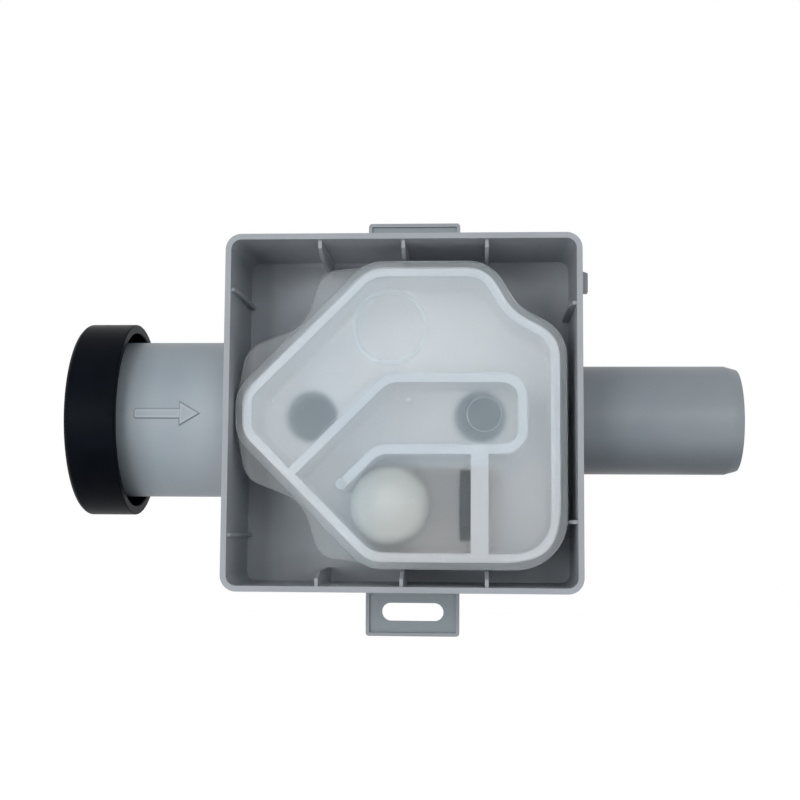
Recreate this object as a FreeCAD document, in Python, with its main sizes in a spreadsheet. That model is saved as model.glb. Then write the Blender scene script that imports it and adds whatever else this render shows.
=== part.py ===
import FreeCAD, Part
import math
import os
import Sketcher

# Flush wall box with a condensate trap cartridge, a rubber inlet on the left and a plain outlet on the right.
# X runs along the pipes, Z runs up, and the wall behind the box is Y = 0 with the room towards -Y.
# A "height" below is the distance in front of that wall, so a plane at height h lies at Y = -h.

os.makedirs("parts", exist_ok=True)
doc = FreeCAD.newDocument("CondensateTrap")

# name, millimetres, what it is
sizeTable = [
    ("boxSide", 98.7, "outer width and height of the wall box"),
    ("boxDepth", 65.0, "from the wall to the rim"),
    ("boxWall", 1.6, "side walls"),
    ("boxCorner", 4.4, "outer corner radius"),
    ("recessDepth", 35.0, "from the rim to the floor the cartridge stands on"),
    ("floorThick", 2.0, "that floor"),
    ("coverPlate", 2.0, "back cover plate, flush with the wall"),
    ("coverLedge", 0.8, "seat of the back cover in the side walls"),
    ("bondGap", 0.05, "glue line round a bonded piece"),
    ("divideX", -3.6, "middle of the wall between the two rear chambers"),
    ("divideThick", 1.6, "that wall"),
    ("portInletX", -28.5, "inlet port of the cartridge"),
    ("portOutletX", 21.4, "outlet port of the cartridge"),
    ("portUp", 1.4, "both ports above the middle"),
    ("portBore", 13.6, "clear bore of a port"),
    ("spigotWall", 2.7, "wall of the cartridge spigots round the bore"),
    ("spigotReach", 8.0, "spigot behind the cartridge"),
    ("spigotPlay", 0.15, "radial clearance of a spigot in its socket"),
    ("socketWall", 2.0, "wall of the sockets behind the floor"),
    ("socketReach", 7.5, "socket behind the floor"),
    ("sealSection", 1.8, "cord diameter of the spigot seals"),
    ("sealRun", 0.05, "running clearance of the seals in the sockets"),
    ("sealBack", 4.4, "seal plane behind the cartridge"),
    ("grooveWide", 2.2, "seal groove"),
    ("grooveSlack", 0.05, "seal above the groove's bottom"),
    ("axisHeight", 29.0, "pipe axis in front of the wall"),
    ("axisUp", 0.25, "pipe axis above the middle of the box"),
    ("outletSize", 32.0, "outlet pipe"),
    ("outletWall", 2.0, "outlet pipe wall"),
    ("outletEnd", 96.6, "outlet pipe's end"),
    ("chamferLong", 3.7, "lead-in chamfer along the outlet pipe"),
    ("chamferDeep", 1.05, "the same chamfer across it"),
    ("inletWall", 2.2, "inlet pipe wall"),
    ("skirtGap", 2.85, "gap between the inlet pipe and the collar's skirt"),
    ("collarEnd", 96.5, "collar's outer end, left of the middle"),
    ("collarLong", 14.8, "collar"),
    ("collarWall", 2.6, "skirt and end web of the collar"),
    ("collarRound", 1.2, "rounded outer edge of the collar"),
    ("webLap", 0.8, "collar's web over the end of the inlet pipe"),
    ("lipBore", 31.8, "opening of the inlet seal, for a 32 mm pipe"),
    ("lipRise", 3.05, "lips of that seal beyond its sleeve"),
    ("sleeveWall", 2.0, "sleeve of the inlet seal inside the inlet pipe"),
    ("sleeveLong", 15.0, "that sleeve"),
    ("lipThick", 1.5, "inner lip of the inlet seal"),
    ("arrowTip", 58.7, "tip of the flow arrow, left of the middle"),
    ("arrowLong", 18.4, "flow arrow from tail to tip"),
    ("arrowHead", 5.4, "length of its head"),
    ("arrowShaft", 2.5, "width of the shaft"),
    ("arrowWide", 6.4, "width of the head"),
    ("arrowRise", 0.4, "arrow above the pipe"),
    ("lugWide", 29.4, "fixing lug"),
    ("lugShift", 0.3, "lug right of the middle"),
    ("lugReach", 16.35, "lug beyond the box"),
    ("lugThick", 3.0, "lug plate"),
    ("lugBorder", 1.1, "width of the lug's raised border"),
    ("borderRise", 1.0, "border above the lug plate"),
    ("slotLong", 19.4, "fixing slot, end to end"),
    ("slotWide", 5.7, "fixing slot"),
    ("slotOut", 8.9, "slot's middle beyond the box"),
    ("gussetIn", 1.5, "middle of a gusset in from the side of the lug"),
    ("gussetSize", 4.2, "leg of a gusset"),
    ("gussetThick", 1.0, "gusset"),
    ("ribThick", 1.0, "guide ribs inside the box"),
    ("ribStart", 1.75, "ribs behind the rim"),
    ("ribLead", 5.5, "slant at the front of a rib that leads the cartridge in"),
    ("ribPitch", 23.2, "top and bottom ribs either side of the middle one"),
    ("ribTopRise", 4.4, "top ribs off their wall"),
    ("ribBottomRise", 4.1, "bottom ribs"),
    ("ribLeftRise", 1.35, "left ribs"),
    ("ribLeftUp", 34.0, "left ribs above and below the middle"),
    ("ribRightRise", 1.95, "right ribs"),
    ("ribRightUp", 30.0, "right ribs above and below the middle"),
    ("clipUp", 36.2, "middle of the clip on the right side"),
    ("clipLong", 6.0, "length of the clip"),
    ("clipOut", 1.6, "clip beyond the box"),
    ("clipSlant", 0.8, "slant of the clip's upper end"),
    ("clipBack", 7.0, "clip's back end behind the rim"),
    ("clipFront", 3.0, "clip's front end behind the rim"),
    ("planSide", 95.5, "inside width of the box that the cartridge's plan is drawn for"),
    ("playTop", 0.6, "cartridge below the top ribs"),
    ("playBottom", 0.4, "cartridge above the bottom ribs"),
    ("playRight", 0.4, "cartridge off the right ribs"),
    ("playLeft", 0.55, "cartridge off the left wall"),
    ("flangeOut", 2.45, "left edge of the flange beyond the raised shell"),
    ("slantTopX", -9.6, "where the upper left slant leaves the top edge"),
    ("slantTopZ", 5.45, "where it meets the left edge"),
    ("slantLowX", -9.5, "where the lower left slant leaves the bottom edge"),
    ("slantLowZ", -5.85, "where it meets the left edge"),
    ("notchStart", 23.2, "notch at the upper right: where it leaves the top edge"),
    ("notchX", 30.3, "deepest point of the notch"),
    ("notchZ", 28.2, "deepest point of the notch"),
    ("notchEnd", 21.4, "where the notch meets the right edge"),
    ("softRound", 9.5, "radius of the slants' and the notch's outer corners"),
    ("notchRound", 16.0, "radius inside the notch"),
    ("bigRound", 12.3, "radius of the lower right corner"),
    ("leftRound", 7.5, "radius of the two left corners"),
    ("bandWide", 2.15, "step of the cover round the raised shell"),
    ("lobeX", -23.3, "outer corner of the flange's upper lobe"),
    ("lobeDrop", 2.85, "that corner below the cartridge's top edge"),
    ("lobeRound", 6.1, "radius of that corner"),
    ("neckX", -28.1, "bottom of the gap between the lobes"),
    ("neckZ", 24.7, "bottom of the gap between the lobes"),
    ("neckRound", 11.7, "radius of that gap"),
    ("sideIn", 3.45, "outer corner of the side lobe off the left wall"),
    ("sideZ", 18.5, "outer corner of the side lobe"),
    ("sideRound", 8.3, "radius of that corner"),
    ("flangeLeftUp", 2.5, "half the straight part of the flange's left edge"),
    ("trayDeep", 26.7, "cartridge from its back to the flange's front face"),
    ("flangeThick", 2.0, "flange"),
    ("bandRise", 1.6, "cover's band above the flange"),
    ("fieldRise", 2.6, "cover's field above the flange"),
    ("beadRise", 0.4, "beads above the field"),
    ("trayPlay", 0.3, "cartridge above the floor of the box"),
    ("trayFloor", 2.0, "rear wall of the cartridge"),
    ("trayWall", 2.2, "outer wall of the cartridge"),
    ("mazeWall", 2.6, "wall of the labyrinth"),
    ("mazeHalf", 9.95, "labyrinth walls above and below the middle of the outlet channel"),
    ("mazeRight", 33.2, "right end of the outlet channel"),
    ("mazeTurn", 5.5, "corner radius at that end"),
    ("mazeBend", 7.5, "radius of the two slanted bends"),
    ("mazeUpperX", -4.8, "bend of the upper wall"),
    ("mazeLowerX", -7.3, "bend of the lower wall"),
    ("mazeLowerFall", 11.0, "fall of the lower wall's slant"),
    ("screenLeft", 18.9, "left face of the wall that holds the seat"),
    ("screenThick", 4.7, "that wall"),
    ("beadWide", 2.4, "bead round the cover"),
    ("mazeBead", 3.0, "bead over the labyrinth walls"),
    ("ringX", -3.85, "thin ring on the cover"),
    ("ringZ", 23.8, "thin ring on the cover"),
    ("ringSize", 20.9, "outer diameter of that ring"),
    ("ringWide", 0.9, "width of that ring"),
    ("ballSag", 0.225, "axis of the ball and its seat below the middle of their chamber"),
    ("ballPlay", 1.05, "float ball off the front and the rear of the chamber"),
    ("ballRoom", 2.525, "float ball off the chamber's top and bottom"),
    ("ballRest", 0.375, "ball off the slanted wall beside it, as photographed"),
    ("seatSize", 20.5, "seat ring"),
    ("seatThick", 3.3, "seat ring in front of its wall"),
    ("seatMouth", 15.0, "mouth the ball rests on"),
    ("seatBore", 12.4, "bore of the seat"),
    ("seatNeck", 15.9, "neck of the seat in the wall"),
    ("seatFit", 0.05, "radial clearance of that neck"),
]

sheet = doc.addObject("Spreadsheet::Sheet", "Sizes")
for row, (name, value, note) in enumerate(sizeTable, start=1):
    sheet.set(f"A{row}", name)
    sheet.set(f"B{row}", str(value))
    sheet.set(f"C{row}", note)
    sheet.setAlias(f"B{row}", name)
doc.recompute()


class Size:
    # A number together with the formula it comes from, so that a feature can be bound to the sheet.
    def __init__(self, text, value):
        self.text = text
        self.value = float(value)

    def joined(self, other, sign, value):
        return Size(f"({self.text} {sign} {asSize(other).text})", value)

    def __add__(self, other):
        return self.joined(other, "+", self.value + asSize(other).value)

    def __sub__(self, other):
        return self.joined(other, "-", self.value - asSize(other).value)

    def __mul__(self, other):
        return self.joined(other, "*", self.value * asSize(other).value)

    def __truediv__(self, other):
        return self.joined(other, "/", self.value / asSize(other).value)

    def __radd__(self, other):
        return asSize(other) + self

    def __rsub__(self, other):
        return asSize(other) - self

    def __rmul__(self, other):
        return asSize(other) * self

    def __neg__(self):
        return asSize(0) - self


def asSize(number):
    return number if isinstance(number, Size) else Size(str(float(number)), number)


def smaller(first, second):
    return Size(f"min({first.text}; {second.text})", min(first.value, second.value))


class SizeSheet:
    def __getattr__(self, name):
        return Size(f"Sizes.{name}", sheet.get(name))


size = SizeSheet()


def bind(feature, prop, number):
    feature.setExpression(prop, asSize(number).text)


# Sketches. The side plane looks along X (local X is Y, local Y is Z), the wall plane looks along -Y
# (local X is X, local Y is Z, heights are positive), the flat plane looks along Z.
planeRoles = {"wall": "XZ_Plane", "side": "YZ_Plane", "flat": "XY_Plane"}


def addSketch(body, name, plane, height=0, across=0, up=0):
    sketch = body.newObject("Sketcher::SketchObject", name)
    origin = [f for f in body.Origin.OriginFeatures if f.Role == planeRoles[plane]][0]
    sketch.AttachmentSupport = [(origin, "")]
    sketch.MapMode = "FlatFace"
    for prop, number in (("x", across), ("y", up), ("z", height)):
        bind(sketch, f"AttachmentOffset.Base.{prop}", number)
    return sketch


def fixPoint(sketch, element, end, x, y):
    # One point of a sketch element, bound across and up from the sketch's origin.
    for kind, number in (("DistanceX", asSize(x)), ("DistanceY", asSize(y))):
        if number.text == "0.0":
            onAxis = -2 if kind == "DistanceX" else -1
            sketch.addConstraint(Sketcher.Constraint("PointOnObject", element, end, onAxis))
            continue
        index = sketch.addConstraint(Sketcher.Constraint(kind, -1, 1, element, end, number.value))
        bind(sketch, f"Constraints[{index}]", number)


def addCircle(sketch, x, y, diameter):
    centre = FreeCAD.Vector(asSize(x).value, asSize(y).value, 0)
    element = sketch.addGeometry(Part.Circle(centre, FreeCAD.Vector(0, 0, 1), diameter.value / 2), False)
    index = sketch.addConstraint(Sketcher.Constraint("Diameter", element, diameter.value))
    bind(sketch, f"Constraints[{index}]", diameter)
    fixPoint(sketch, element, 3, x, y)


def addPolygon(sketch, corners):
    # A closed outline of straight edges, every corner bound to the sheet.
    points = [FreeCAD.Vector(asSize(x).value, asSize(y).value, 0) for x, y in corners]
    lines = [Part.LineSegment(a, b) for a, b in zip(points, points[1:] + points[:1])]
    elements = [sketch.addGeometry(line, False) for line in lines]
    for element, following in zip(elements, elements[1:] + elements[:1]):
        sketch.addConstraint(Sketcher.Constraint("Coincident", element, 2, following, 1))
    for element, (x, y) in zip(elements, corners):
        fixPoint(sketch, element, 1, x, y)


def addBlock(sketch, left, low, right, high):
    addPolygon(sketch, [(left, low), (right, low), (right, high), (left, high)])


def addRoundBlock(sketch, left, low, right, high, radius):
    corners = [(left, low), (right, low), (right, high), (left, high)]
    addOutline(sketch, [(asSize(x).value, asSize(y).value, radius.value) for x, y in corners])
    elements = range(sketch.GeometryCount - 8, sketch.GeometryCount)
    lines = list(elements)[0::2]
    arcs = list(elements)[1::2]
    for line, arc, nextLine in zip(lines, arcs, lines[1:] + lines[:1]):
        sketch.addConstraint(Sketcher.Constraint("Tangent", line, 2, arc, 1))
        sketch.addConstraint(Sketcher.Constraint("Tangent", arc, 2, nextLine, 1))
    for line, kind in zip(lines, ("Horizontal", "Vertical", "Horizontal", "Vertical")):
        sketch.addConstraint(Sketcher.Constraint(kind, line))
    for arc in arcs:
        index = sketch.addConstraint(Sketcher.Constraint("Radius", arc, radius.value))
        bind(sketch, f"Constraints[{index}]", radius)
    for line, kind, number in zip(lines, ("Y", "X", "Y", "X"), (low, right, high, left)):
        number = asSize(number)
        place = Sketcher.Constraint(f"Distance{kind}", -1, 1, line, 1, number.value)
        index = sketch.addConstraint(place)
        bind(sketch, f"Constraints[{index}]", number)


def addOutline(sketch, corners):
    # A closed outline with rounded corners, worked out from (x, y, radius) of each corner in turn.
    # Lines and arcs alternate: the line that ends at a corner comes first, then that corner's arc.
    starts, stops, middles = [], [], []
    count = len(corners)
    for i, (x, y, radius) in enumerate(corners):
        before, after = corners[i - 1], corners[(i + 1) % count]
        here = FreeCAD.Vector(x, y, 0)
        back = (FreeCAD.Vector(before[0], before[1], 0) - here).normalize()
        ahead = (FreeCAD.Vector(after[0], after[1], 0) - here).normalize()
        half = back.getAngle(ahead) / 2
        reach = radius / math.tan(half)
        bisector = (back + ahead).normalize()
        starts.append(here + back * reach)
        stops.append(here + ahead * reach)
        middles.append(here + bisector * (radius / math.sin(half) - radius))
    for i in range(count):
        j = (i + 1) % count
        sketch.addGeometry(Part.LineSegment(stops[i], starts[j]), False)
        sketch.addGeometry(Part.Arc(starts[j], middles[j], stops[j]), False)


def shifted(corners, distance):
    # The same closed outline, moved outwards by a distance; its corners run clockwise.
    result = []
    count = len(corners)
    for i, (x, y, radius) in enumerate(corners):
        before, after = corners[i - 1], corners[(i + 1) % count]
        inLength = math.hypot(x - before[0], y - before[1])
        outLength = math.hypot(after[0] - x, after[1] - y)
        inX, inY = (x - before[0]) / inLength, (y - before[1]) / inLength
        outX, outY = (after[0] - x) / outLength, (after[1] - y) / outLength
        turn = inX * outY - inY * outX
        share = distance / (1 + inX * outX + inY * outY)
        newX = x - (inY + outY) * share
        newY = y + (inX + outX) * share
        grown = radius + distance if turn < 0 else radius - distance
        result.append((newX, newY, grown))
    return result


def strip(path, width):
    # The outline of a wall of even width along an open path of (x, y, radius), its far end rounded.
    half = width / 2
    sides = []
    for side in (half, -half):
        line = []
        for i, (x, y, radius) in enumerate(path):
            before = path[i - 1] if i > 0 else None
            after = path[i + 1] if i < len(path) - 1 else None
            inLength = math.hypot(x - before[0], y - before[1]) if before else 1
            outLength = math.hypot(after[0] - x, after[1] - y) if after else 1
            ahead = ((after[0] - x) / outLength, (after[1] - y) / outLength) if after else None
            back = ((x - before[0]) / inLength, (y - before[1]) / inLength) if before else None
            inX, inY = back or ahead
            outX, outY = ahead or back
            turn = inX * outY - inY * outX
            share = side / (1 + inX * outX + inY * outY)
            grown = radius - side if turn > 0 else radius + side
            end = before is None or after is None
            line.append((x - (inY + outY) * share, y + (inX + outX) * share, radius if end else grown))
        sides.append(line)
    return sides[0] + sides[1][::-1]


def addPad(body, name, sketch, length, reversed=False):
    pad = body.newObject("PartDesign::Pad", name)
    pad.Profile = sketch
    bind(pad, "Length", length)
    pad.Reversed = reversed
    sketch.Visibility = False
    return pad


def addPocket(body, name, sketch, length, reversed=False):
    pocket = body.newObject("PartDesign::Pocket", name)
    pocket.Profile = sketch
    bind(pocket, "Length", length)
    pocket.Reversed = reversed
    sketch.Visibility = False
    return pocket


def addTurned(body, name, sketch, kind="Revolution"):
    # A profile turned once round the sketch's own horizontal axis.
    turned = body.newObject(f"PartDesign::{kind}", name)
    turned.Profile = sketch
    turned.ReferenceAxis = (sketch, ["H_Axis"])
    turned.Angle = 360
    sketch.Visibility = False
    return turned


def newBody(label):
    body = doc.addObject("PartDesign::Body", label)
    body.Label = label
    return body


# Lengths used by more than one piece
half = size.boxSide / 2
inner = half - size.boxWall
stretch = 2 * inner / size.planSide
floorHeight = size.boxDepth - size.recessDepth
floorBack = floorHeight - size.floorThick
innerCorner = size.boxCorner - size.boxWall
trayBack = floorHeight + size.trayPlay
trayInside = trayBack + size.trayFloor
flangeFront = trayBack + size.trayDeep
spigotSize = size.portBore + 2 * size.spigotWall
socketBore = spigotSize + 2 * size.spigotPlay
socketOuter = socketBore + 2 * size.socketWall
outletBore = size.outletSize - 2 * size.outletWall
sleeveInner = size.lipBore / 2 + size.lipRise
sleeveOuter = sleeveInner + size.sleeveWall
inletBore = 2 * (sleeveOuter + size.bondGap)
inletOuter = inletBore / 2 + size.inletWall
collarInnerFace = -size.collarEnd + size.collarWall
screenLeft = size.screenLeft * stretch
screenRight = screenLeft + size.screenThick
portUp = size.portUp * stretch


# The wall box: four walls, the floor with its two sockets, and the rear chambers
wallBox = newBody("wall_box")
outer = addSketch(wallBox, "BoxOutline", "wall")
addRoundBlock(outer, -half, -half, half, half, size.boxCorner)
addPad(wallBox, "BoxBlock", outer, size.boxDepth)

recess = addSketch(wallBox, "RecessOutline", "wall", size.boxDepth)
addRoundBlock(recess, -inner, -inner, inner, inner, innerCorner)
addPocket(wallBox, "Recess", recess, size.boxDepth - floorHeight)

seatLedge = addSketch(wallBox, "BackCoverSeat", "wall")
ledge = inner + size.coverLedge
addRoundBlock(seatLedge, -ledge, -ledge, ledge, ledge, innerCorner + size.coverLedge)
addPocket(wallBox, "BackCoverRecess", seatLedge, size.coverPlate, True)

divideLeft = size.divideX * stretch - size.divideThick / 2
divideRight = divideLeft + size.divideThick
for name, left, right in (("Inlet", -inner, divideLeft), ("Outlet", divideRight, inner)):
    chamber = addSketch(wallBox, f"{name}ChamberOutline", "wall", size.coverPlate)
    addRoundBlock(chamber, left, -inner, right, inner, innerCorner)
    addPocket(wallBox, f"{name}Chamber", chamber, floorBack - size.coverPlate, True)

ports = (("Inlet", size.portInletX * stretch), ("Outlet", size.portOutletX * stretch))
for name, portX in ports:
    tube = addSketch(wallBox, f"{name}SocketOutline", "wall", floorBack)
    addCircle(tube, portX, portUp, socketOuter)
    addPad(wallBox, f"{name}Socket", tube, size.socketReach, True)
for name, portX in ports:
    bore = addSketch(wallBox, f"{name}SocketBoreOutline", "wall", floorHeight)
    addCircle(bore, portX, portUp, socketBore)
    addPocket(wallBox, f"{name}SocketBore", bore, size.floorThick + size.socketReach)


def addWindow(body, name, bore, wallX, reach):
    # The part of a pipe's bore that lies behind the box floor, cut through a side wall.
    sketch = addSketch(body, f"{name}WindowOutline", "side", wallX)
    radius = bore.value / 2
    centre = FreeCAD.Vector(-size.axisHeight.value, size.axisUp.value, 0)
    lip = size.boxWall.value / 2
    chord = max(lip - floorBack.value, centre.x - radius + lip)
    spread = math.acos((chord - centre.x) / radius)
    circle = Part.Circle(centre, FreeCAD.Vector(0, 0, 1), radius)
    arc = Part.ArcOfCircle(circle, -spread, spread)
    sketch.addGeometry(arc, False)
    sketch.addGeometry(Part.LineSegment(arc.EndPoint, arc.StartPoint), False)
    sketch.addConstraint(Sketcher.Constraint("Coincident", 0, 2, 1, 1))
    sketch.addConstraint(Sketcher.Constraint("Coincident", 1, 2, 0, 1))
    addPocket(body, f"{name}Window", sketch, reach)


addWindow(wallBox, "Inlet", inletBore, -inner, size.boxWall)
addWindow(wallBox, "Outlet", outletBore, half, size.boxWall)

ribTop = inner - size.ribTopRise
ribBottom = inner - size.ribBottomRise
ribLeft = inner - size.ribLeftRise
ribRight = inner - size.ribRightRise
grip = size.boxWall / 2


def addRib(name, plane, place, edge, sign):
    # A guide rib from the floor of the box to just behind the rim, with its free edge this far from the
    # middle. Its front end is half as high and slants up to the full height.
    foot = (inner + grip) * sign
    nose = (inner + edge) / 2 * sign
    front = size.ribStart - size.boxDepth
    corners = [
        (-floorHeight, foot),
        (-floorHeight, edge * sign),
        (front + size.ribLead, edge * sign),
        (front, nose),
        (front, foot),
    ]
    if plane == "flat":
        corners = [(across, depth) for depth, across in corners]
    outline = addSketch(wallBox, f"{name}Outline", plane, place - size.ribThick / 2)
    addPolygon(outline, corners)
    addPad(wallBox, name, outline, size.ribThick)


for i, ribX in enumerate((-size.ribPitch, asSize(0), size.ribPitch), start=1):
    addRib(f"TopRib{i}", "side", ribX, ribTop, 1)
    addRib(f"BottomRib{i}", "side", ribX, ribBottom, -1)
for i, sign in enumerate((1, -1), start=1):
    addRib(f"LeftRib{i}", "flat", size.ribLeftUp * sign, ribLeft, -1)
    addRib(f"RightRib{i}", "flat", size.ribRightUp * sign, ribRight, 1)

clip = addSketch(wallBox, "ClipOutline", "wall", size.boxDepth - size.clipBack)
clipOuter = half + size.clipOut
clipLow = size.clipUp - size.clipLong / 2
clipHigh = size.clipUp + size.clipLong / 2
addPolygon(clip, [
    (half - grip, clipLow),
    (clipOuter, clipLow),
    (clipOuter, clipHigh - size.clipSlant),
    (half - grip, clipHigh),
])
addPad(wallBox, "Clip", clip, size.clipBack - size.clipFront)


# The plate bonded into the back, which closes the rear chambers
backCover = newBody("back_cover")
plate = addSketch(backCover, "PlateOutline", "wall")
edge = ledge - size.bondGap
addRoundBlock(plate, -edge, -edge, edge, edge, innerCorner + size.coverLedge - size.bondGap)
addPad(backCover, "Plate", plate, size.coverPlate)


# The fixing lugs above and below the box, each a bordered plate with one slot and two gussets
def addLug(label, sign):
    body = newBody(label)
    left = size.lugShift - size.lugWide / 2
    right = size.lugShift + size.lugWide / 2
    tip = half + size.lugReach

    def span(a, b):
        return (a, b) if sign > 0 else (-b, -a)

    low, high = span(half, tip)
    outline = addSketch(body, "PlateOutline", "wall")
    addBlock(outline, left, low, right, high)
    addPad(body, "LugPlate", outline, size.lugThick + size.borderRise)
    low, high = span(half, tip - size.lugBorder)
    field = addSketch(body, "FieldOutline", "wall", size.lugThick + size.borderRise)
    addBlock(field, left + size.lugBorder, low, right - size.lugBorder, high)
    addPocket(body, "Field", field, size.borderRise)
    low, high = span(half + size.slotOut - size.slotWide / 2, half + size.slotOut + size.slotWide / 2)
    slotLeft = size.lugShift - size.slotLong / 2
    slotRight = size.lugShift + size.slotLong / 2
    slot = addSketch(body, "SlotOutline", "wall", size.lugThick)
    addSlot(slot, slotLeft, low, slotRight, high)
    addPocket(body, "Slot", slot, size.lugThick)
    for i, gussetX in enumerate((left + size.gussetIn, right - size.gussetIn), start=1):
        gusset = addSketch(body, f"Gusset{i}Outline", "side", gussetX - size.gussetThick / 2)
        foot = -size.lugThick + size.borderRise / 2
        top = -size.lugThick - size.gussetSize
        nearZ, farZ = half * sign, (half + size.gussetSize) * sign
        addPolygon(gusset, [(foot, nearZ), (top, nearZ), (foot, farZ)])
        addPad(body, f"Gusset{i}", gusset, size.gussetThick)
    return body


def addSlot(sketch, left, low, right, high):
    # Two straight edges joined by half circles.
    left, low, right, high = (asSize(number) for number in (left, low, right, high))
    radius = (high - low) / 2
    middle = (high.value + low.value) / 2
    centres = (left.value + radius.value, right.value - radius.value)
    quarter = math.pi / 2
    normal = FreeCAD.Vector(0, 0, 1)
    ends = [Part.Circle(FreeCAD.Vector(x, middle, 0), normal, radius.value) for x in centres]
    sketch.addGeometry(Part.ArcOfCircle(ends[0], quarter, 3 * quarter), False)
    sketch.addGeometry(Part.LineSegment(FreeCAD.Vector(centres[0], low.value, 0),
                                        FreeCAD.Vector(centres[1], low.value, 0)), False)
    sketch.addGeometry(Part.ArcOfCircle(ends[1], -quarter, quarter), False)
    sketch.addGeometry(Part.LineSegment(FreeCAD.Vector(centres[1], high.value, 0),
                                        FreeCAD.Vector(centres[0], high.value, 0)), False)
    for first, second in ((0, 1), (1, 2), (2, 3), (3, 0)):
        sketch.addConstraint(Sketcher.Constraint("Tangent", first, 2, second, 1))
    sketch.addConstraint(Sketcher.Constraint("Horizontal", 1))
    index = sketch.addConstraint(Sketcher.Constraint("Radius", 0, radius.value))
    bind(sketch, f"Constraints[{index}]", radius)
    fixPoint(sketch, 0, 3, left + radius, low + radius)
    index = sketch.addConstraint(Sketcher.Constraint("DistanceX", 0, 3, 2, 3, centres[1] - centres[0]))
    bind(sketch, f"Constraints[{index}]", right - left - 2 * radius)


addLug("fixing_lug_top", 1)
addLug("fixing_lug_bottom", -1)


# The outlet pipe, plain with a chamfered end
def pipeSketch(body, name):
    return addSketch(body, name, "wall", size.axisHeight, 0, size.axisUp)


outletPipe = newBody("outlet_pipe")
profile = pipeSketch(outletPipe, "PipeProfile")
addPolygon(profile, [
    (half, outletBore / 2),
    (size.outletEnd, outletBore / 2),
    (size.outletEnd, size.outletSize / 2 - size.chamferDeep),
    (size.outletEnd - size.chamferLong, size.outletSize / 2),
    (half, size.outletSize / 2),
])
addTurned(outletPipe, "Pipe", profile)


# The inlet pipe with the raised flow arrow on its front
inletPipe = newBody("inlet_pipe")
profile = pipeSketch(inletPipe, "PipeProfile")
addPolygon(profile, [
    (collarInnerFace, inletBore / 2),
    (-half, inletBore / 2),
    (-half, inletOuter),
    (collarInnerFace, inletOuter),
])
addTurned(inletPipe, "Pipe", profile)
arrowTop = size.axisHeight + inletOuter + size.arrowRise
arrow = addSketch(inletPipe, "ArrowOutline", "wall", arrowTop, 0, size.axisUp)
shaft = size.arrowShaft / 2
wing = size.arrowWide / 2
tail = -size.arrowTip - size.arrowLong
headBase = -size.arrowTip - size.arrowHead
addPolygon(arrow, [
    (tail, -shaft),
    (headBase, -shaft),
    (headBase, -wing),
    (-size.arrowTip, asSize(0)),
    (headBase, wing),
    (headBase, shaft),
    (tail, shaft),
])
addPad(inletPipe, "Arrow", arrow, size.arrowRise + size.inletWall / 2, True)


# The collar: an end web against the pipe's end and a skirt that stands clear of the pipe
collar = newBody("inlet_collar")
profile = pipeSketch(collar, "CollarProfile")
skirtInner = inletOuter + size.skirtGap
skirtOuter = skirtInner + size.collarWall
sealSeat = inletOuter - size.webLap
skirtEnd = -size.collarEnd + size.collarLong
addPolygon(profile, [
    (-size.collarEnd, sealSeat),
    (collarInnerFace, sealSeat),
    (collarInnerFace, skirtInner),
    (skirtEnd, skirtInner),
    (skirtEnd, skirtOuter),
    (-size.collarEnd + size.collarRound, skirtOuter),
    (-size.collarEnd, skirtOuter - size.collarRound),
])
addTurned(collar, "Collar", profile)


# The rubber seal in the collar and the inlet pipe, with an outer and an inner lip
inletSeal = newBody("inlet_seal")
profile = pipeSketch(inletSeal, "SealProfile")
lipRadius = size.lipBore / 2
sleeveEnd = collarInnerFace + size.sleeveLong
addPolygon(profile, [
    (-size.collarEnd, lipRadius),
    (collarInnerFace, lipRadius),
    (collarInnerFace, sleeveInner),
    (sleeveEnd - size.lipThick, sleeveInner),
    (sleeveEnd - size.lipThick, lipRadius),
    (sleeveEnd, lipRadius),
    (sleeveEnd, sleeveOuter),
    (collarInnerFace, sleeveOuter),
    (collarInnerFace, sealSeat - size.bondGap),
    (-size.collarEnd, sealSeat - size.bondGap),
])
addTurned(inletSeal, "Seal", profile)


# The cartridge's outlines, corners clockwise from the upper left. Its edges keep their clearance to the box,
# and the corners between them keep their share of its width.
edgeTop = ribTop - size.playTop
edgeBottom = size.playBottom - ribBottom
edgeRight = ribRight - size.playRight
edgeLeft = size.playLeft - inner
shellTop = edgeTop - size.bandWide
shellBottom = edgeBottom + size.bandWide
shellRight = edgeRight - size.bandWide
shellLeft = edgeLeft + size.flangeOut


def plan(x, y, radius):
    # One corner of an outline as plain numbers.
    return x.value, y.value, radius.value


shell = [
    plan(size.slantTopX * stretch, shellTop, size.softRound),
    plan(size.notchStart * stretch, shellTop, size.softRound),
    plan(size.notchX * stretch, size.notchZ * stretch, size.notchRound),
    plan(shellRight, size.notchEnd * stretch, size.softRound),
    plan(shellRight, shellBottom, size.bigRound),
    plan(size.slantLowX * stretch, shellBottom, size.softRound),
    plan(shellLeft, size.slantLowZ * stretch, size.leftRound),
    plan(shellLeft, size.slantTopZ * stretch, size.leftRound),
]
band = shifted(shell, size.bandWide.value)
lobeX = size.lobeX * stretch
lobeZ = edgeTop - size.lobeDrop
neckX = size.neckX * stretch
neckZ = size.neckZ * stretch
sideX = size.sideIn - inner
sideZ = size.sideZ * stretch
lobes = [
    plan(lobeX, lobeZ, size.lobeRound),
    plan(asSize(0), edgeTop, size.softRound),
    plan(asSize(0), edgeBottom, size.softRound),
    plan(lobeX, -lobeZ, size.lobeRound),
    plan(neckX, -neckZ, size.neckRound),
    plan(sideX, -sideZ, size.sideRound),
    plan(edgeLeft, -size.flangeLeftUp, size.softRound),
    plan(edgeLeft, size.flangeLeftUp, size.softRound),
    plan(sideX, sideZ, size.sideRound),
    plan(neckX, neckZ, size.neckRound),
]

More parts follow.
